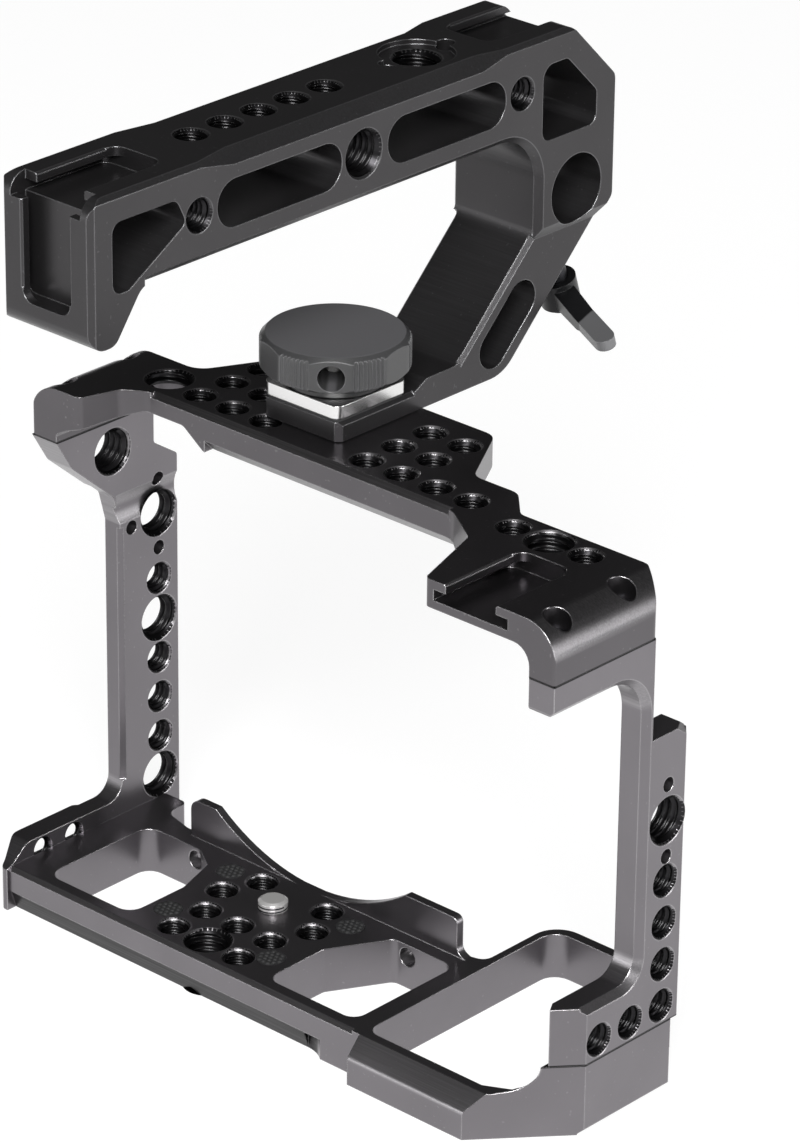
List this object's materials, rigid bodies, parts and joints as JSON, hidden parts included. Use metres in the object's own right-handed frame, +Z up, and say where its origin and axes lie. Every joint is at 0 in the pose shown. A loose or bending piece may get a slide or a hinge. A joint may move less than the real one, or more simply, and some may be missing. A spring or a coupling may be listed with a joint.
{
  "type": "camera cage with top handle",
  "caption": "Black anodised camera cage that wraps a camera on four sides, with threaded accessory holes and a bolted top handle.",
  "frame": {"origin": "on the camera screw's axis, on the face that the camera's base rests on", "axes": "+X to the grip side, +Y towards the lens, +Z up"},
  "size_m": [0.1528, 0.1508, 0.1836],
  "materials": {
    "anodised": "satin black anodised",
    "polished_steel": "polished stainless",
    "dark_steel": "black oxide",
    "rubber": "matt with fine bumps",
    "black_nylon": "matt",
    "lever_paint": "black with a light paddle"
  },
  "bodies": {
    "cage": {"base_plate": "anodised", "left_side_plate": "anodised", "right_side_plate": "anodised", "top_plate": "anodised", "screw_top_right_rear": "dark_steel", "screw_top_right_front": "dark_steel", "screw_top_left_rear": "dark_steel", "screw_top_left_front": "dark_steel", "screw_base_right_rear": "dark_steel", "screw_base_right_front": "dark_steel", "screw_base_left_rear": "dark_steel", "screw_base_left_front": "dark_steel", "pad_left_rear": "rubber", "pad_left_front": "rubber", "pad_right_rear": "rubber", "pad_right_front": "rubber"},
    "camera_washer": {"camera_screw_washer": "black_nylon"},
    "camera_screw": {"camera_screw": "polished_steel"},
    "handle": {"handle_body": "anodised", "clamp_gasket": "black_nylon"},
    "clamp_slide": {"clamp_washer": "polished_steel"},
    "clamp_knob": {"clamp_knob": "anodised", "clamp_stud": "polished_steel"},
    "rod_pad": {"lever_tip": "polished_steel"},
    "lever_screw": {"lever_stud": "dark_steel"},
    "lever_arm": {"lever_arm": "lever_paint"}
  },
  "joints": [
    {"name": "camera_screw_lift", "type": "slide", "parent": "cage", "child": "camera_washer", "axis": [0, 0, 1], "range_m": [-0.0036, 0]},
    {"name": "camera_screw_turn", "type": "hinge", "parent": "camera_washer", "child": "camera_screw", "pos_m": [0, 0, 0], "axis": [0, 0, 1], "continuous": true},
    {"name": "handle_swivel", "type": "hinge", "parent": "cage", "child": "handle", "pos_m": [-0.0022, 0.02, 0.103], "axis": [0, 0, 1], "range_deg": [-180, 180]},
    {"name": "clamp_travel", "type": "slide", "parent": "handle", "child": "clamp_slide", "axis": [0, 0, 1], "range_m": [0, 0.00794]},
    {"name": "clamp_turn", "type": "hinge", "parent": "clamp_slide", "child": "clamp_knob", "pos_m": [-0.0022, 0.02, 0.103], "axis": [0, 0, 1], "range_deg": [0, 1800]},
    {"name": "rod_pad_travel", "type": "slide", "parent": "handle", "child": "rod_pad", "axis": [0, 0.309, -0.9511], "range_m": [-0.0008, 0.0016]},
    {"name": "lever_turn", "type": "hinge", "parent": "rod_pad", "child": "lever_screw", "pos_m": [-0.0022, 0.0781, 0.13835], "axis": [0, 0.309, -0.9511], "range_deg": [-288, 576]},
    {"name": "lever_lift", "type": "slide", "parent": "lever_screw", "child": "lever_arm", "axis": [0, 0.309, -0.9511], "range_m": [0, 0.001]}
  ],
  "couplings": [
    {"joint": "clamp_travel", "follows": "clamp_turn", "m_per_rad": 0.00025266},
    {"joint": "rod_pad_travel", "follows": "lever_turn", "m_per_rad": 0.00015915}
  ]
}
